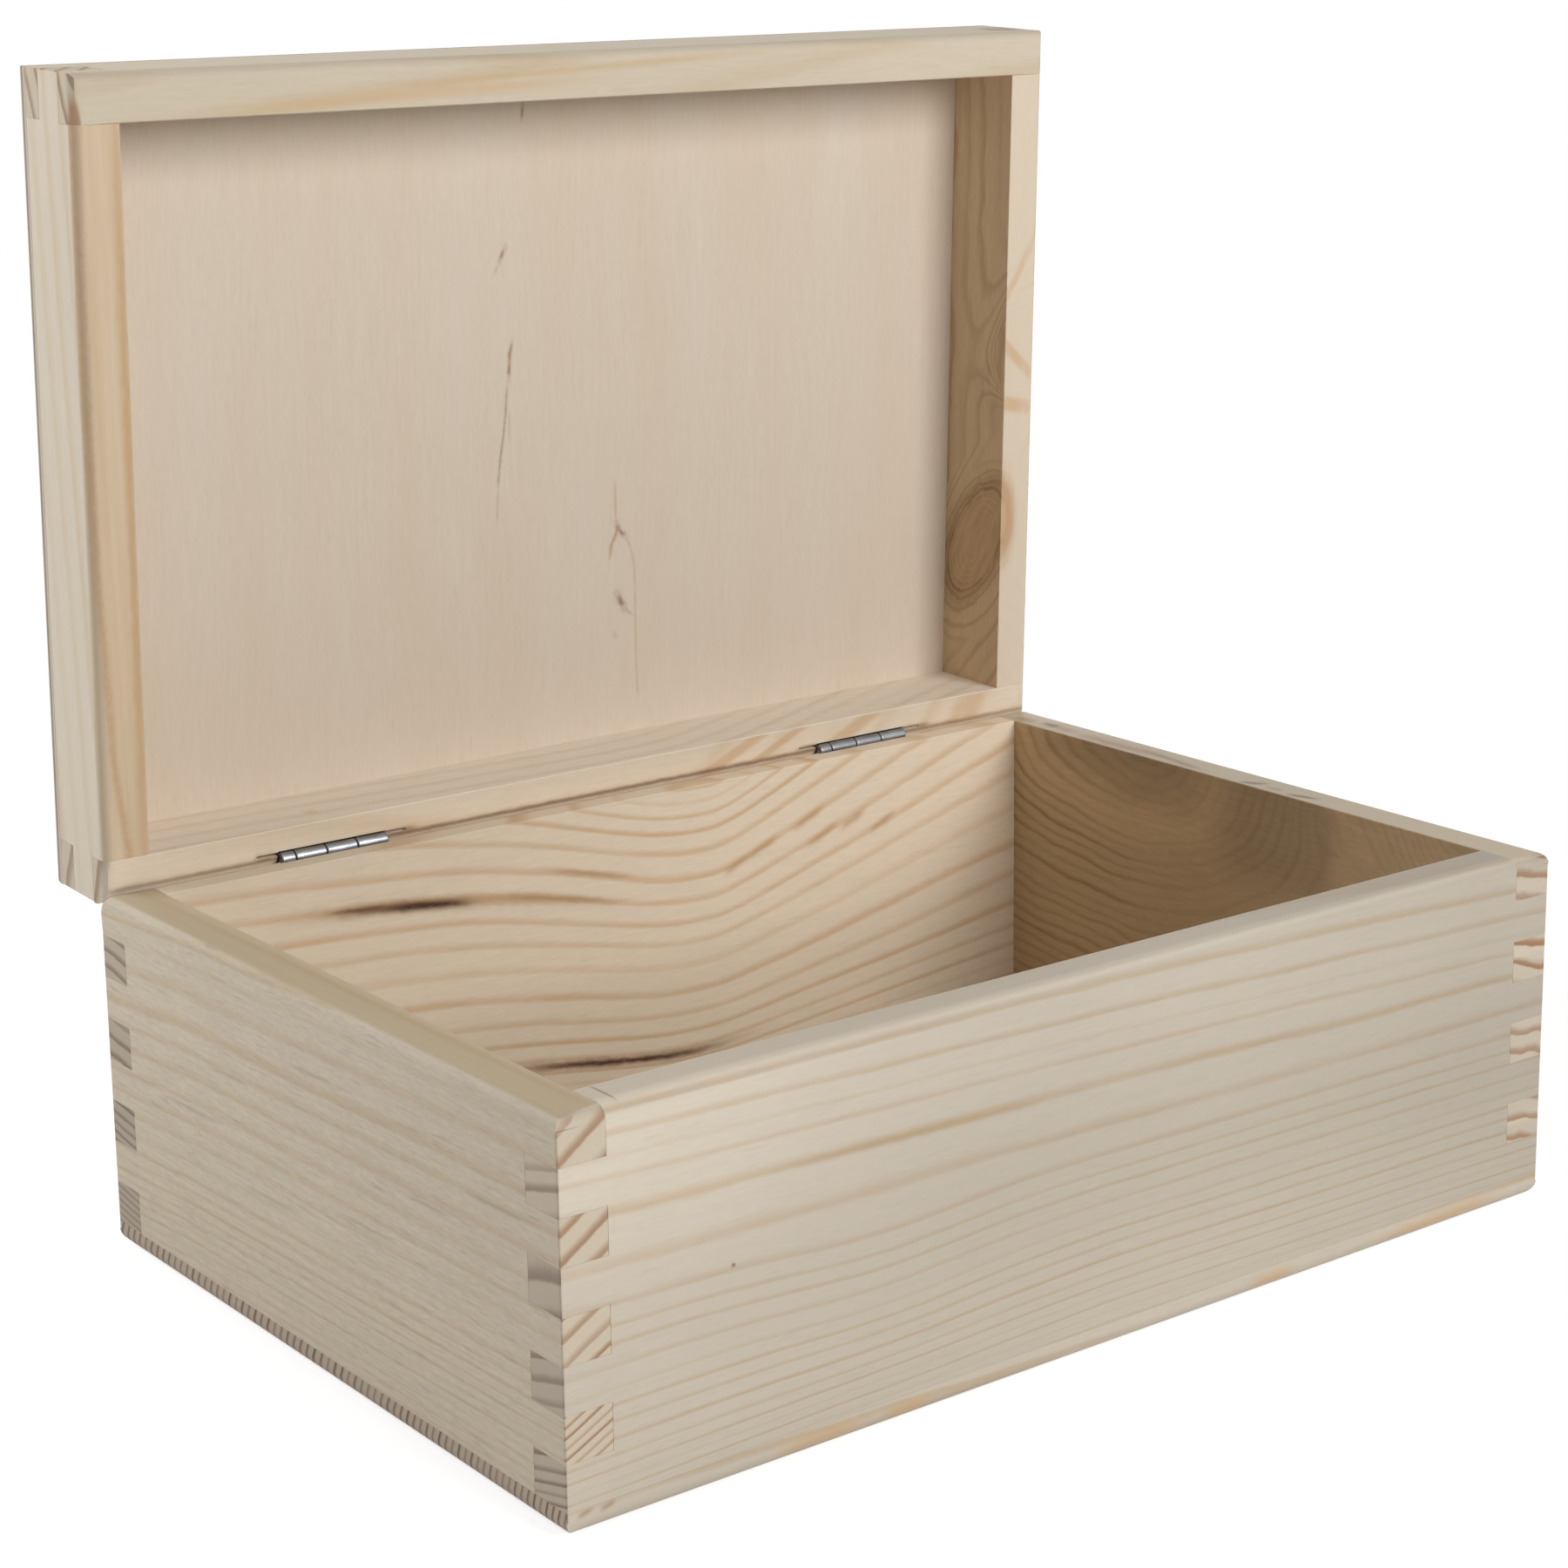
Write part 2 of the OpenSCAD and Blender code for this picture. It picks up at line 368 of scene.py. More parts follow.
def lid_right_field(s):
    def sweep(along):
        return ((along - 80.0) * (1.0 / 8.6)).min(2.0).exp() * 5.0

    u, v = s.y + IN_Y, PANEL_Z - s.z
    c = v - sweep(u)
    c = v - sweep(u + (c - 4.9) * 1.6) + (u - 130.0).max(0.0) * 0.9
    c = c - (s.x - IN_X) * 0.8 + s.noise(s.y * 0.06, s.z * 0.12, s.x * 0.12) * 2.0
    knot = lid_knot(s)
    away = knot.step(1.1, 1.9)
    knot = knot + s.noise(s.y * 0.12, s.z * 0.2, s.x * 0.2 + 3.0, 3.0) * 0.05
    return knot * 45.0 * (1.0 - away) + (c + 40.0) * away


def lid_right_faint(s):
    return s.nz.step(-0.97, -0.8, 0.5, 1.0) * lid_knot(s).step(1.6, 1.2, 0.65, 0.75)


# Marks that only one board shows, some of them painted light and shade; v is the length across its
# rings
def front_marks(s, col, v):
    skin = s.y.step(-99.0, -100.5)
    up = s.nz.step(0.15, 0.5)
    # Painted light and shade: the front is lighter towards the left and the top, and darker
    # towards the right and in a band at mid height
    pale = s.x.step(-10.0, -160.0) * (s.z * 0.0028 + 0.02) * (1.0 - up * 0.6)
    shade = s.x.step(10.0, 160.0) * 0.12 + s.z.bell(45.0, 22.0) * 0.075
    col = s.scaled(col, pale - shade + 0.955)
    # Painted light and shade on the top edge: the rounding is lighter where it faces mostly up and
    # a little darker lower down, and the inner part of the flat top is darker
    flat = s.nz.step(0.96, 0.995) * s.y.step(-98.5, -96.0)
    turn = s.nz.bell(0.85, 0.2) * 0.22 - s.nz.bell(0.35, 0.2) * 0.04
    col = s.scaled(col, turn - flat * 0.16 + 1.0)
    for along, across, at, size, colour, amount, only in (
            (s.y, s.x, (-94.5, -134.0), (4.5, 0.35), (140, 120, 98), 0.8, up),
            (s.x, v, (-55, 65.2), (34, 0.9), (178, 154, 120), 0.7, skin),
            (s.x, s.z, (-106.7, 49.3), (0.5, 0.5), (120, 84, 60), 0.8, skin)):
        col = s.streak(col, along, across, at, size, 0.0, colour, amount, only, 1.0)
    return col


def bottom_marks(s, col, v):
    edge = s.ny.step(-0.6, -0.9)
    for x, w in ((-84, 11), (-60, 6), (54, 7), (113, 20)):
        col = s.streak(col, s.x, s.z, (x, 3.0), (w, 1.6), 0.02, (206, 168, 120), 0.65,
                       edge, 3.0)
    for x in (-145.5, -139.8):
        col = s.streak(col, s.x, s.z, (x, 5.0), (1.8, 0.7), 0.2, (170, 134, 98), 0.7,
                       edge, 3.0)
    return col


def back_marks(s, col, v):
    skin = s.y.step(92.0, 90.5)
    # Painted shade: the board is darker towards the bottom and towards its left end as seen from
    # inside the box
    col = s.scaled(col, s.z.step(78.0, 32.0, 1.01, 0.9) * s.x.step(-110.0, 110.0, 0.92, 1.08))
    spot = s.noise(s.x * 0.5, s.z * 1.6, 7.0, 3.0, 0.7)
    for at, size, colour, amount in (
            ((-62, 59.5), (40, 1.5), (186, 146, 100), 0.7),
            ((-71, 59.2), (19, 1.25), (120, 84, 56), 0.8),
            ((-64, 59.0), (12, 0.9), (66, 42, 31), 1.0),
            ((-84, 59.6), (8, 0.5), (96, 66, 46), 0.7),
            ((-22, 60.1), (17, 1.0), (176, 136, 92), 0.7),
            ((-13, 67.2), (13, 0.9), (180, 140, 94), 0.65),
            ((-4, 16.0), (38, 1.4), (150, 110, 74), 0.8),
            ((-4, 15.9), (27, 0.8), (66, 42, 30), 0.95)):
        only = skin * spot.step(-0.9, 0.1, 0.35, 1.0) if colour[0] < 100 else skin
        col = s.streak(col, s.x, v, at, size, 0.0, colour, amount, only, 2.0)
    for x, z, w in ((36, 67.2, 4), (45, 70.6, 5), (61, 76, 5),
                    (66, 70.3, 5), (77, 72.7, 4), (88, 70.3, 4)):
        col = s.streak(col, s.x, s.z, (x, z), (w, 1.2), 0.42, (194, 150, 102), 0.6, skin, 2.0)
    return col


def left_marks(s, col, v):
    up = s.nz.step(0.75, 0.95) * s.ny.abs().step(0.3, 0.1)
    outer = (s.x + s.noise(s.y * 0.02, 0.0, 4.0)).step(-140.0, -143.4)
    top = s.mix(outer, srgb(192, 175, 148), srgb(187, 170, 141))
    grain = s.noise(s.y * 0.05, s.x * 1.5, 3.0, 3.0)
    top = s.scaled(top, grain * 0.05 - s.y.step(-80.0, 80.0) * 0.11 + 1.0)
    col = s.mix(up * 0.9, col, top)
    col = s.streak(col, s.y, s.x, (0, -141.3), (120, 1.3), -0.008, (174, 147, 113), 0.5,
                   up, 1.0)
    side = s.nx.step(-0.7, -0.95)
    for y, z, w in ((-78, 66, 11), (-50, 57.5, 8), (-2, 73.6, 9), (58, 48, 13),
                    (20, 37, 11), (-24, 44, 10), (38, 62, 8)):
        col = s.streak(col, s.y, s.z, (y, z), (w, 0.5), -0.03, (150, 132, 108), 0.38,
                       side, 4.0)
    return col


def right_marks(s, col, v):
    blot = s.noise(s.y * 0.05, s.z * 0.12, 3.0, 3.0) * 6.0
    eye = (v + blot).step(24.0, 6.0)
    halo = (v + blot * 0.5).bell(24.0, 7.0) * s.y.step(-5.0, 15.0)
    col = s.scaled(col, halo * 0.12 - eye * 0.24 + 1.0)
    swirl = s.noise((s.y + s.z * 1.6) * 0.05, (s.z - s.y * 0.4) * 0.2, 6.0, 3.0).step(-0.1, 0.7)
    edge = s.y + blot
    shade = edge.step(-42.0, -34.0) * edge.step(12.0, -8.0) * s.z.step(58.0, 72.0)
    col = s.scaled(col, swirl * s.y.step(-28.0, -40.0) * 0.14 - shade * 0.24 + 1.0)
    up = s.nz.step(0.6, 0.9)
    col = s.mix(up * 0.9, col, srgb(212, 198, 176))
    for at, size, slope, colour, amount in (
            ((88, 141.5), (4.0, 2.0), 0.0, (164, 132, 98), 0.6),
            ((74, 142.2), (6.0, 2.2), 0.0, (160, 128, 96), 0.6),
            ((79, 142.8), (3.2, 1.4), 0.0, (126, 102, 80), 0.8),
            ((50, 141.3), (16.0, 2.4), 0.0, (166, 134, 100), 0.65),
            ((27, 141.6), (13.0, 1.4), 0.107, (160, 126, 94), 0.7),
            ((-6, 140.9), (3.2, 1.3), -0.53, (130, 106, 84), 0.75),
            ((-14, 140.9), (3.0, 1.2), 0.0, (176, 148, 118), 0.5),
            ((-24.5, 141), (4.2, 1.1), -0.26, (124, 100, 80), 0.8)):
        col = s.streak(col, s.y, s.x, at, size, slope, colour, amount, up, 2.0)
    return col


def lid_rim(s):
    """1 on the flat of the lid's rim, which faces down when the lid is shut."""
    return s.nz.step(-0.8, -0.97)


def lid_left_marks(s, col, v):
    rim = lid_rim(s)
    patch = s.noise(s.y * 0.02, s.x * 0.4, 1.0).step(-0.8, 0.8)
    col = s.mix(rim * 0.8, col, s.mix(patch, srgb(222, 199, 169), srgb(214, 187, 152)))
    # Painted shade on the rounding between the rim and the outer face
    col = s.mix(s.nz.bell(-0.6, 0.3) * s.nx.step(-0.2, -0.5) * 0.8, col, srgb(192, 170, 137))
    line = ((-101, -149.8), (-46, -149.3), (15, -148.6), (65, -146.5), (92, -143.0))
    col = s.scratch(col, s.y, s.x, line, 0.9, (190, 152, 112), 0.6, s.nz.step(-0.05, -0.25))
    for at, size, slope, colour, amount in (
            ((0, -139.2), (110, 1.4), 0.0, (198, 160, 116), 0.75),
            ((30, -144.6), (80, 0.8), 0.035, (204, 172, 130), 0.3)):
        col = s.streak(col, s.y, s.x, at, size, slope, colour, amount, rim, 1.0)
    return col


def lid_front_marks(s, col, v):
    rim = lid_rim(s)
    wedge = s.nz.step(-0.15, -0.5) * s.nx.step(-0.15, -0.4) * s.y.step(-98.0, -93.0)
    col = s.mix(wedge * 0.8, col, srgb(172, 130, 96))
    for at, size, slope, colour, amount, seed in (
            ((-60, -92.6), (50, 1.6), -0.03, (210, 176, 132), 0.6, 3.0),
            ((-10, -97.0), (60, 1.0), -0.04, (206, 174, 130), 0.55, 4.0)):
        col = s.streak(col, s.x, s.y, at, size, slope, colour, amount, rim, seed)
    return col


def lid_back_marks(s, col, v):
    rim = lid_rim(s)
    col = s.mix(rim * 0.27, s.scaled(col, 1.0 - rim * 0.06), srgb(222, 194, 152))
    for x, w, slope, amount in ((43, 4.0, 2.2, 0.55), (58, 3.0, 2.2, 0.55),
                                (84, 5.0, 2.0, 0.55), (127, 6.0, 0.6, 0.45)):
        slant = s.x + (s.y - 93.0) * slope
        col = s.streak(col, slant, s.y, (x, 93.0), (w, 9.0), 0.0, (202, 158, 108), amount,
                       rim, 5.0)
    # The ends of the hinge slots, then painted shade: the dark line where the lid meets the box
    for x, half in ((-106.2, 2.6), (-65.5, 4.0), (67.2, 3.4), (108.2, 4.0)):
        col = s.streak(col, s.x, s.y, (x, 96.2), (half, 0.9), 0.0, (168, 130, 92), 0.75,
                       rim, 6.0)
    col = s.streak(col, s.x, s.y, (0, 97.4), (170, 0.8), 0.0, (132, 96, 68), 0.9, rim, 6.0)
    inner = s.ny.step(-0.8, -0.95)
    across, along = s.x * 0.77 + s.z * 0.64, s.z * 0.77 - s.x * 0.64
    saw = s.noise(across * 0.9, along * 0.06, 2.0, 2.0)
    col = s.scaled(col, saw * inner * 0.035 + 1.0)
    return s.streak(col, s.x, s.z, (-88, RIM_Z + 8.0), (2.0, 2.4), 0.0, (226, 204, 166), 0.7,
                    inner, 2.0)


def lid_right_marks(s, col, v):
    knot = lid_knot(s)
    blot = s.noise(s.y * 0.12, s.z * 0.3, s.x * 0.3 + 4.0, 3.0, 0.6)
    inner = s.nz.step(-0.9, -0.6)
    along, across = s.y * KNOT_COS + s.z * KNOT_SIN, s.y * KNOT_SIN - s.z * KNOT_COS
    mottle = s.noise(along * 0.08, across * 0.5, 2.0, 3.0, 0.6)
    heart = s.mix(mottle * 0.7 + 0.5, srgb(188, 152, 114), srgb(226, 200, 164))
    col = s.mix((knot + blot * 0.12).step(0.95, 0.65) * inner * 0.85, col, heart)
    ragged = knot + blot * 0.15
    bark = ragged.bell(0.95, 0.16) * inner * blot.step(-0.5, 0.5, 0.25, 0.7)
    col = s.mix(bark, col, srgb(148, 108, 72))
    col = s.mix(ragged.step(1.4, 1.0) * inner * 0.2, col, srgb(150, 112, 76))
    arcs = (knot * 9.0 + blot * 0.5).fract().bell(0.5, 0.16)
    arcs = arcs * knot.step(0.35, 0.6) * knot.step(1.3, 1.1)
    col = s.mix(arcs * inner * blot.step(-0.4, 0.5, 0.15, 0.5), col, srgb(224, 198, 162))
    spot = s.y.bell(1.0, 7.0) * s.z.bell(RIM_Z + 6.0, 6.0)
    col = s.scaled(col, 1.0 - spot * inner * blot.step(-0.5, 0.6) * 0.3)
    rim = lid_rim(s)
    col = s.mix(rim * knot.step(1.5, 0.9, 0.75, 0.3), col, srgb(228, 213, 192))
    halo = (knot + blot * 0.1).bell(0.95, 0.22)
    col = s.mix(halo * rim * 0.55, col, srgb(178, 124, 70))
    for y, x, slope, amount in ((-9, 142, 0.9, 0.55), (5, 141, 0.2, 0.6), (-33, 142, -1.6, 0.4)):
        slant = s.y - (s.x - 142.0) * slope
        col = s.streak(col, slant, s.x, (y, x), (2.2, 7.0), 0.0, (206, 160, 106), amount, rim, 2.0)
    return col


def plywood(name):
    """Rotary-cut plywood: a plain pinkish face, fine fibres, short brown marks, grey edges."""
    s = Shade(name, lid=True)
    x, y, z = s.x, s.y, s.z
    band = s.noise(x * 0.05, y * 0.006, 0.0, 3.0)
    flow = x + s.noise(x * 0.02, y * 0.012, 5.0) * 3.0
    fibre = s.noise(flow * 0.9, y * 0.05, 3.0, 3.0, 0.65)
    speck = s.noise(x * 1.6, y * 0.3, 9.0, 2.0, 0.6)
    tick = s.noise(x * 1.3, y * 0.11, 14.0, 2.0, 0.6).step(0.3, 0.9)
    rough_zone = (y + s.noise(x * 0.02, y * 0.02, 8.0) * 40.0).step(-20.0, 90.0, 0.6, 1.4)
    col = s.mix(band * 0.6 + 0.5, srgb(220, 206, 191), srgb(216, 199, 177))
    col = s.scaled(col, fibre * 0.045 + speck * 0.04 - tick * rough_zone * 0.09 + 1.0)
    inside = z.step(PANEL_Z + 1.0, PANEL_Z + 0.5)
    brown, grey = (150, 110, 76), (168, 146, 126)
    for points, wide, colour, amount in (
            (((-49.6, -16.1), (-45.4, -18.1)), 0.5, brown, 0.85),
            (((-45.4, -18.1), (-41.4, -20.2)), 0.4, grey, 0.4),
            (((-24.3, -14.2), (-20.8, -15.1), (-13.8, -15.5)), 0.45, brown, 0.8),
            (((-13.0, -16.0), (-2.4, -16.9), (7.6, -18.5), (14.8, -19.3)), 0.34,
             (142, 118, 98), 0.6),
            (((14.8, -19.3), (25.0, -19.8)), 0.3, grey, 0.35),
            (((-5.8, -15.5), (3.1, -15.6)), 0.3, grey, 0.35),
            (((17.5, 18.6), (28.9, 18.9)), 0.35, (186, 158, 128), 0.6),
            (((29.0, 19.0), (31.0, 19.6), (33.9, 22.3)), 0.6, (148, 104, 74), 0.85),
            (((30.1, 19.4), (32.5, 18.9), (35.7, 17.3), (39.1, 16.8)), 0.45,
             (180, 136, 96), 0.75),
            (((33.9, 22.3), (37.0, 23.9), (41.1, 24.9), (48.3, 25.3)), 0.32, grey, 0.4),
            (((49.2, 19.1), (54.0, 21.7)), 0.75, (142, 102, 78), 0.85),
            (((54.0, 21.7), (56.5, 24.8)), 0.35, grey, 0.55),
            (((60.5, 18.2), (61.6, 18.8)), 0.5, (186, 142, 96), 0.8),
            (((48.3, 25.3), (67.9, 25.5), (79.8, 26.1)), 0.34, (186, 162, 132), 0.45),
            (((-87.0, -10.2), (-82.0, -10.6)), 0.35, (140, 112, 92), 0.8)):
        col = s.scratch(col, y, x, points, wide, colour, amount, inside)
    edge = s.nz.abs().step(0.6, 0.3)
    core = (z - PANEL_Z - 1.5).abs().step(0.4, 0.55)
    cut = s.mix(core, srgb(150, 136, 120), srgb(196, 184, 168))
    dashes = s.noise(x * 0.12, y * 0.12, z * 1.2 + 2.0).step(0.3, 0.8)
    cut = s.scaled(cut, s.noise(x * 1.2, y * 1.2, z * 3.0) * 0.08 - dashes * 0.25 + 1.0)
    col = s.mix(edge, col, cut)
    return s.finish(col, fibre * 0.05 + 0.62, fibre * 0.5 + speck * 0.4 - tick * 0.4, 0.2)


def steel(name):
    """Bright plated sheet steel, a little dull and uneven from knuckle to knuckle."""
    s = Shade(name)
    scratch = s.noise(s.x * 0.5, s.y * 3.0, s.z * 3.0, 3.0, 0.6)
    smear = s.noise(s.x * 0.16, s.y * 0.3, s.z * 0.3 + 5.0, 2.0, 0.6)
    col = s.mix(smear * 0.7 + 0.5, srgb(160, 161, 164), srgb(114, 115, 119))
    s.bsdf.inputs["Metallic"].default_value = 1.0
    return s.finish(col, scratch * 0.08 + smear * 0.10 + 0.31, scratch, 0.2, 0.00005)


# Where the dark lines of three boards lie, in millimetres of the board's field
FRONT_RINGS = (
    97.0, 89.4, 82.2, 77.2, 72.8, 65.4, 55.2, 48.0, 43.8, 40.4, 36.4, 32.2,
    29.0, 25.8, 22.2, 18.8, 16.0, 13.6, 11.4, 9.0, 6.4, 4.0)
LEFT_RINGS = (
    90.2, 85.0, 78.3, 69.3, 63.5, 57.5, 51.0, 45.5, 40.5, 35.0, 30.5, 27.3,
    24.2, 21.6, 19.2, 16.8, 14.5, 12.2, 9.8, 7.4)
BACK_RINGS = (
    95.0, 91.2, 87.4, 83.4, 78.8, 73.2, 66.2, 59.8, 53.6, 47.8, 41.0, 33.8,
    27.4, 22.0, 17.6, 14.0, 10.8, 7.8, 5.0)
CREAM, TAN = (204, 193, 176), (192, 170, 141)
LID_END = ((202, 188, 168), (152, 128, 104))
MATERIALS = {
    "front_board": pine(
        "pine_front", front_field, FRONT_RINGS, "x", CREAM, TAN,
        ((190, 176, 159), (134, 116, 100)), 1.0, marks=front_marks),
    "back_board": pine(
        "pine_back", back_field, BACK_RINGS, "x", (236, 219, 195), (213, 177, 135),
        ((192, 178, 160), (142, 122, 102)), 2.0,
        width=0.33, strength=0.95, fibres=1.3, bands=1.7, marks=back_marks),
    "left_board": pine(
        "pine_left", left_field, LEFT_RINGS, "y", (205, 192, 172), (190, 167, 134),
        ((208, 194, 172), (160, 122, 88)), 3.0,
        width=0.4, strength=0.8, fibres=3.2, ticks=0.2, marks=left_marks),
    "right_board": pine(
        "pine_right", right_field, 0.31, "y", (208, 182, 147), (164, 128, 90),
        ((198, 185, 167), (152, 114, 80)), 4.0,
        width=0.45, strength=0.9, fibres=2.2, bands=0.55, faint=right_faint, marks=right_marks),
    "bottom_panel": pine(
        "pine_bottom", bottom_field, 0.32, "x", CREAM, (186, 156, 116),
        ((184, 168, 150), (104, 84, 66)), 5.0, marks=bottom_marks),
    "lid_front_rail": pine(
        "pine_lid_front", lid_front_field, 0.17, "x", (214, 200, 178), (198, 172, 134),
        LID_END, 6.0, lid=True, width=0.4, strength=0.5, marks=lid_front_marks),
    "lid_back_rail": pine(
        "pine_lid_back", lid_back_field, 0.13, "x", (240, 227, 209), (215, 190, 157),
        ((202, 188, 168), (156, 134, 112)), 7.0, lid=True,
        width=0.4, strength=0.5, fibres=1.6, marks=lid_back_marks),
    "lid_left_rail": pine(
        "pine_lid_left", lid_left_field, 0.125, "y", (216, 204, 186), (200, 178, 144),
        LID_END, 8.0, lid=True, width=0.45, strength=0.7, fibres=1.3, marks=lid_left_marks),
    "lid_right_rail": pine(
        "pine_lid_right", lid_right_field, 0.15, "y", (217, 193, 160), (170, 132, 92),
        LID_END, 9.0, lid=True, width=0.4, strength=0.85, fibres=2.0,
        faint=lid_right_faint, marks=lid_right_marks),
    "lid_panel": plywood("plywood_face"),
}
metal = steel("bright_plated_steel")


# How far edges are taken back, in millimetres
CORNER_EASE, RIM_EASE, JOINT_EASE, KNUCKLE_EASE = 0.5, 0.4, 0.12, 0.4
# A point within this many millimetres of a face lies on it
TOUCH = 0.05
# Angles between faces: still one flat face, an edge to ease on wood and on steel, and a crease
FLAT, WOOD_EDGE, STEEL_EDGE, CREASE = (math.radians(a) for a in (0.3, 30.0, 60.0, 50.0))
# Metres: points closer than this are one, and edges shorter than this aren't eased
SAME, SHORT = 1e-6, 0.0015


def shut(co):
    """A point of the lid in millimetres, where it is with the lid shut."""
    y, z = co.y * MM_PER_M - PIN_Y, co.z * MM_PER_M - PIN_Z
    c, s = math.cos(OPEN), math.sin(OPEN)
    return Vector((co.x * MM_PER_M, PIN_Y + y * c - z * s, PIN_Z + y * s + z * c))


def ease(p, lid):
    """How far the edge at a point is taken back: corners and rims more than the joint lines."""
    x, y, z = abs(p.x), abs(p.y), p.z
    on_side, on_end = x > HALF_W - TOUCH, y > HALF_D - TOUCH
    if on_side and on_end:
        return CORNER_EASE
    rim = abs(z - (RIM_Z if lid else BODY_H)) < TOUCH
    inner_side, inner_end = abs(x - IN_X) < TOUCH, abs(y - IN_Y) < TOUCH
    if rim and ((inner_side and y < IN_Y) or (inner_end and x < IN_X)):
        return RIM_EASE
    return JOINT_EASE if on_side or on_end or rim else 0.0


def bare(node):
    """A mesh of a node with its flat faces whole."""
    bm = bmesh.new()
    bm.from_mesh(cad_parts[node].data)
    bmesh.ops.remove_doubles(bm, verts=bm.verts, dist=SAME)
    bmesh.ops.dissolve_limit(bm, angle_limit=FLAT, use_dissolve_boundaries=False,
                             verts=bm.verts, edges=bm.edges)
    return bm


def cut_rim(bm, lid):
    """Adds a point to each edge of the rim where a neighbouring board's inner face meets it."""
    rim = RIM_Z if lid else BODY_H
    for axis, place in ((0, -IN_X), (0, IN_X), (1, -IN_Y), (1, IN_Y)):
        for e in bm.edges[:]:
            a, b = (shut(v.co) if lid else v.co * MM_PER_M for v in e.verts)
            on_rim = max(abs(a.z - rim), abs(b.z - rim)) < TOUCH
            if on_rim and (a[axis] - place) * (b[axis] - place) < -0.01:
                part = (place - a[axis]) / (b[axis] - a[axis])
                bmesh.utils.edge_split(e, e.verts[0], part)


def add_piece(node, bm, body, width):
    """Adds a piece that stands for a node, its weighted edges rounded off by width."""
    mesh = bpy.data.meshes.new(node + "_eased")
    bm.to_mesh(mesh)
    bm.free()
    piece = bpy.data.objects.new(node + "_eased", mesh)
    bpy.context.scene.collection.objects.link(piece)
    bevel = piece.modifiers.new("ease", "BEVEL")
    bevel.limit_method = "WEIGHT"
    bevel.width = width / MM_PER_M
    bevel.segments = 2
    bevel.use_clamp_overlap = False
    bm = bmesh.new()
    bm.from_object(piece, bpy.context.evaluated_depsgraph_get())
    piece.modifiers.remove(bevel)
    bmesh.ops.dissolve_degenerate(bm, dist=SAME, edges=bm.edges)
    bm.normal_update()
    for f in bm.faces:
        f.smooth = True
    for e in bm.edges:
        e.smooth = e.calc_face_angle(0.0) < CREASE
    bm.to_mesh(mesh)
    bm.free()
    mesh.materials.append(MATERIALS.get(node, metal))
    normals = piece.modifiers.new("normals", "WEIGHTED_NORMAL")
    normals.keep_sharp = True
    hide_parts(node)
    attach(piece, body)


def ease_board(node):
    """Adds a board with its sharp edges taken off; an edge's weight is in millimetres."""
    lid = node.startswith("lid_")
    bm = bare(node)
    cut_rim(bm, lid)
    weight = bm.edges.layers.float.new("bevel_weight_edge")
    for e in bm.edges:
        if e.calc_face_angle(0.0) < WOOD_EDGE or not e.is_convex or e.calc_length() < SHORT:
            continue
        mid = (e.verts[0].co + e.verts[1].co) / 2
        e[weight] = ease(shut(mid) if lid else mid * MM_PER_M, lid)
    add_piece(node, bm, "lid" if lid else "box", 1.0)


def ease_leaf(node):
    """Adds a hinge leaf with the ends of its knuckles rounded, as rolled sheet is."""
    bm = bare(node)
    weight = bm.edges.layers.float.new("bevel_weight_edge")
    for e in bm.edges:
        if e.calc_face_angle(0.0) < STEEL_EDGE or not e.is_convex:
            continue
        a, b = e.verts[0].co, e.verts[1].co
        out = [math.hypot(c.y * MM_PER_M - PIN_Y, c.z * MM_PER_M - PIN_Z) for c in (a, b)]
        if abs(a.x - b.x) < SAME and max(abs(r - KNUCKLE_R) for r in out) < TOUCH:
            e[weight] = 1.0
    body = "lid" if "lid_leaf" in node else "box"
    add_piece(node, bm, body, KNUCKLE_EASE)


for node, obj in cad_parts.items():
    obj.data.materials.clear()
    obj.data.materials.append(MATERIALS.get(node, metal))
    if node in MATERIALS:
        ease_board(node)
    elif node.endswith("_leaf"):
        ease_leaf(node)


def seen(tree):
    """1 for rays that show what they meet: the camera's own, mirrored and through glass."""
    path = tree.nodes.new("ShaderNodeLightPath")
    camera_ray, glossy, through = (Val(tree, path.outputs[kind]) for kind in (
        "Is Camera Ray", "Is Glossy Ray", "Is Transmission Ray"))
    return camera_ray.max(glossy).max(through)


def mixed(tree, fac, a, b):
    """Shader a where the factor is 0 and b where it is 1."""
    n = tree.nodes.new("ShaderNodeMixShader")
    for i, socket in enumerate((fac.socket, a.outputs[0], b.outputs[0])):
        tree.links.new(socket, n.inputs[i])
    return n


# Floor: pale, with the object's shadow; between these distances it turns plain white to the camera
FLOOR_SIZE, FLOOR_Z = 12.0, -0.0002
FADE_FROM, FADE_TO = 0.2, 0.55


def floor_material():
    mat = bpy.data.materials.new("floor_pale")
    mat.use_nodes = True
    tree = mat.node_tree
    tree.nodes.clear()
    new, link = tree.nodes.new, tree.links.new
    out = new("ShaderNodeOutputMaterial")
    plain, shown = new("ShaderNodeBsdfDiffuse"), new("ShaderNodeBsdfDiffuse")
    plain.inputs[0].default_value = (0.82, 0.82, 0.82, 1.0)
    shown.inputs[0].default_value = (0.5, 0.5, 0.5, 1.0)
    white, glow = new("ShaderNodeEmission"), new("ShaderNodeEmission")
    glow.inputs["Strength"].default_value = 0.72
    lit = new("ShaderNodeAddShader")
    link(shown.outputs[0], lit.inputs[0])
    link(glow.outputs[0], lit.inputs[1])
    place, far = new("ShaderNodeTexCoord"), new("ShaderNodeVectorMath")
    far.operation = "LENGTH"
    link(place.outputs["Object"], far.inputs[0])
    fade = Val(tree, far.outputs["Value"]).step(FADE_FROM, FADE_TO)
    mix = mixed(tree, seen(tree), plain, mixed(tree, fade, lit, white))
    link(mix.outputs[0], out.inputs[0])
    return mat


bpy.ops.mesh.primitive_plane_add(size=FLOOR_SIZE, location=(0, 0, FLOOR_Z))
floor = bpy.context.object
floor.name = "floor"
floor.data.materials.append(floor_material())

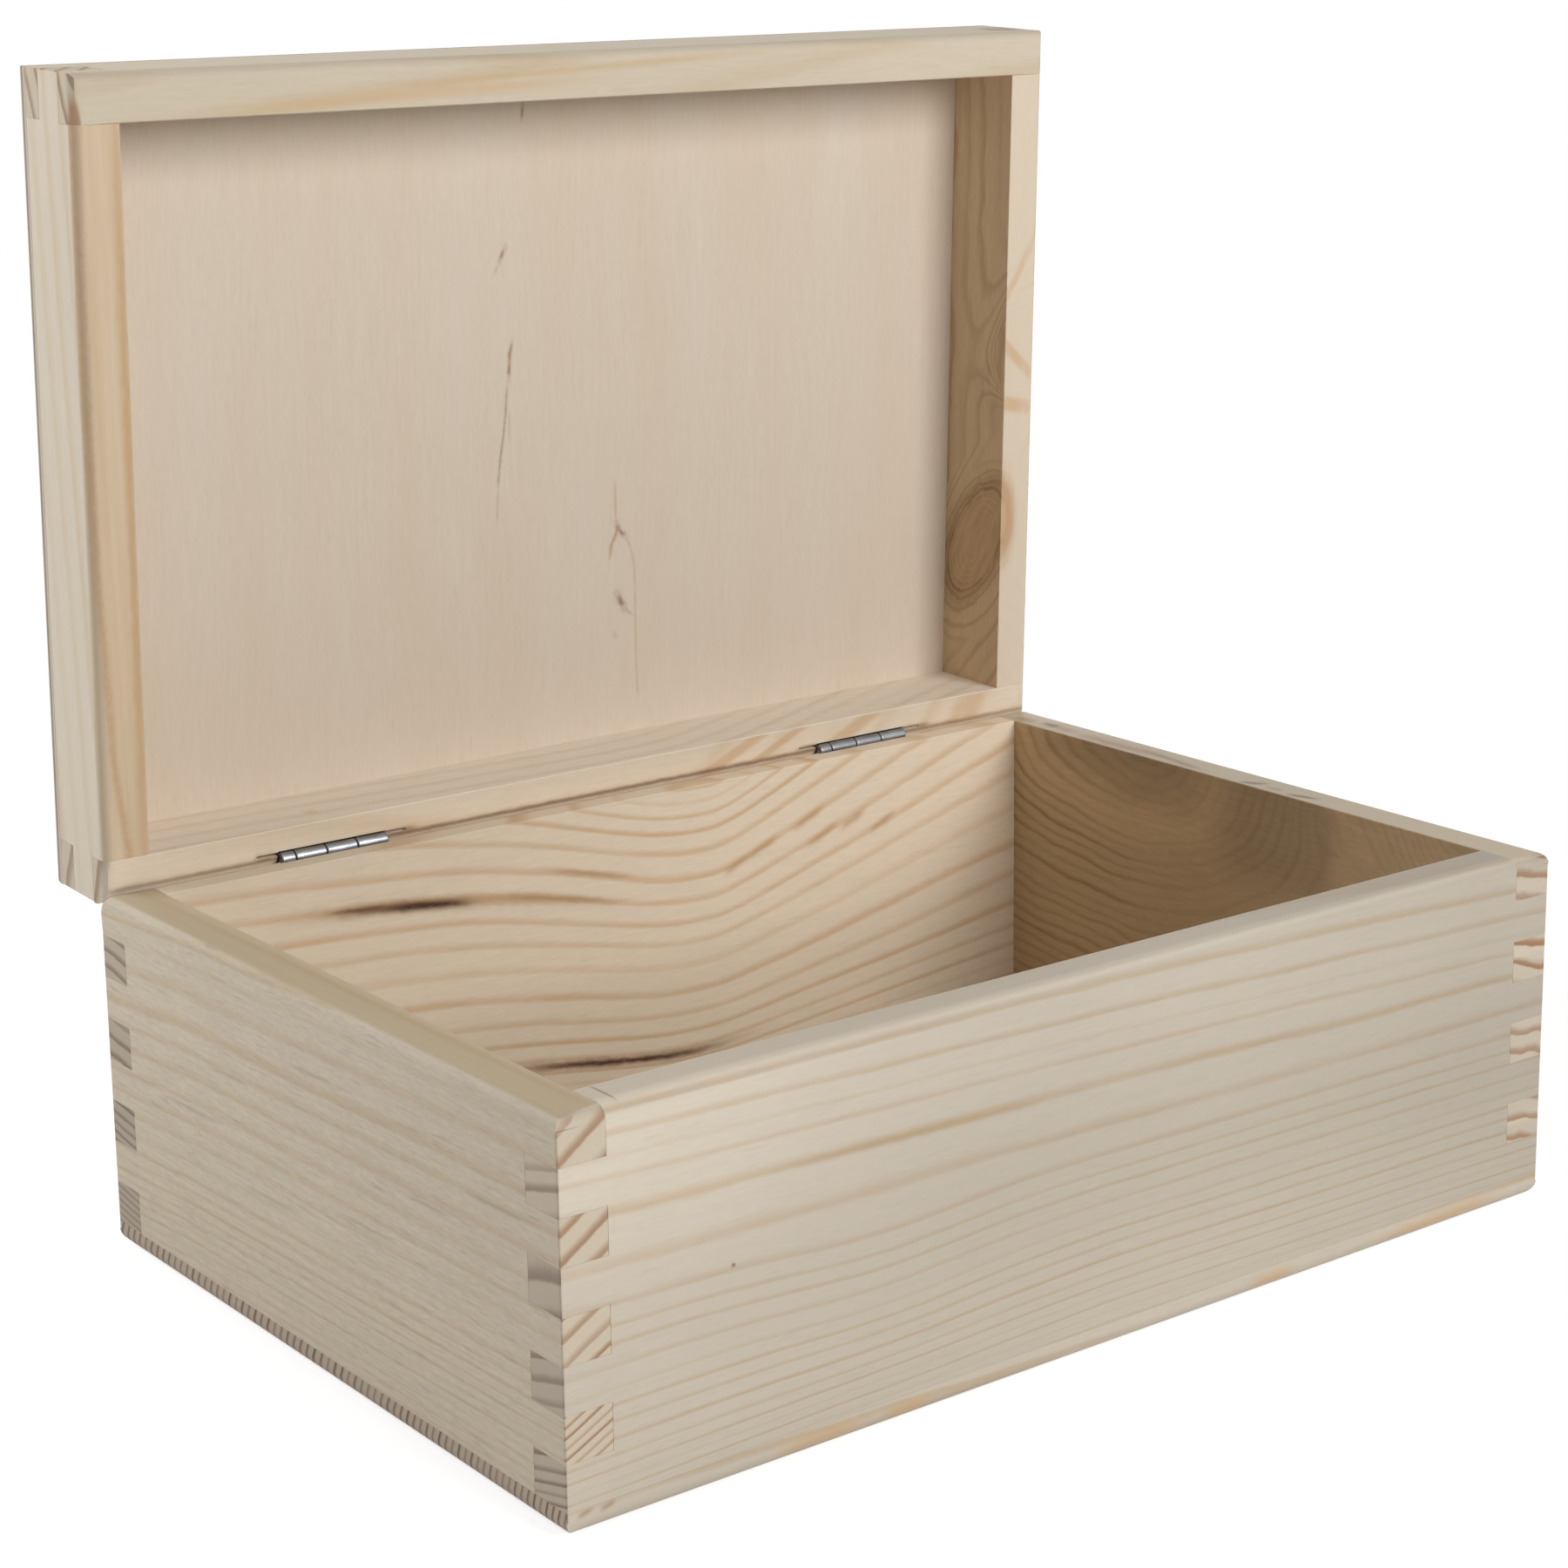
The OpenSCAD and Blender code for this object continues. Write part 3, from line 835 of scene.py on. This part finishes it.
# World: a low fill light, seen as white by the camera
world = bpy.data.worlds.new("studio")
bpy.context.scene.world = world
world.use_nodes = True
tree = world.node_tree
tree.nodes.clear()
backgrounds = []
for strength in (0.11, 1.0):
    background = tree.nodes.new("ShaderNodeBackground")
    background.inputs["Color"].default_value = (1, 1, 1, 1)
    background.inputs["Strength"].default_value = strength
    backgrounds.append(background)
mix = mixed(tree, seen(tree), *backgrounds)
tree.links.new(mix.outputs[0], tree.nodes.new("ShaderNodeOutputWorld").inputs[0])

# Soft lights: place and aim in metres, width and height, power in watts
for name, place, aim, size, power in (
        ("key_front_right", (0.37, -1.33, 0.79), (0, 0.1, 0.17), (0.85, 0.8), 17.8),
        ("side_back_left", (-0.72, 0.55, 0.66), (-0.1, 0, 0.12), (0.6, 0.6), 6.6),
        ("fill_back_right", (0.75, 1.25, 0.25), (0.05, 0.1, 0.13), (0.7, 0.4), 8.0)):
    light = bpy.data.lights.new(name, "AREA")
    light.shape = "RECTANGLE"
    light.size, light.size_y = size
    light.energy = power
    lamp = bpy.data.objects.new(name, light)
    lamp.location = place
    lamp.rotation_euler = (Vector(aim) - Vector(place)).to_track_quat("-Z", "Y").to_euler()
    bpy.context.scene.collection.objects.link(lamp)

# Camera at the photograph's place; focal length and middle are in pixels of the square picture
PHOTO_PX, FOCAL_PX, MIDDLE_PX = 1800, 3843.942, (913.291, 768.125)
SENSOR_MM = 36.0
data = bpy.data.cameras.new("camera")
camera = bpy.data.objects.new("camera", data)
right = Vector((0.7934078644, -0.6085840678, -0.0113751092))
down = Vector((-0.1453272242, -0.1712487837, -0.9744505385))
ahead = Vector((0.5910870990, 0.7747898338, -0.2243139650))
camera.matrix_world = Matrix((
    (right.x, -down.x, -ahead.x, -0.4935765),
    (right.y, -down.y, -ahead.y, -0.6325181),
    (right.z, -down.z, -ahead.z, 0.3286430),
    (0, 0, 0, 1),
))
data.sensor_width = SENSOR_MM
data.lens = SENSOR_MM * FOCAL_PX / PHOTO_PX
data.shift_x = (PHOTO_PX / 2 - MIDDLE_PX[0]) / PHOTO_PX
data.shift_y = (MIDDLE_PX[1] - PHOTO_PX / 2) / PHOTO_PX
data.clip_start, data.clip_end = 0.01, 50.0
bpy.context.scene.collection.objects.link(camera)
bpy.context.scene.camera = camera

bpy.context.scene.view_settings.view_transform = "Standard"
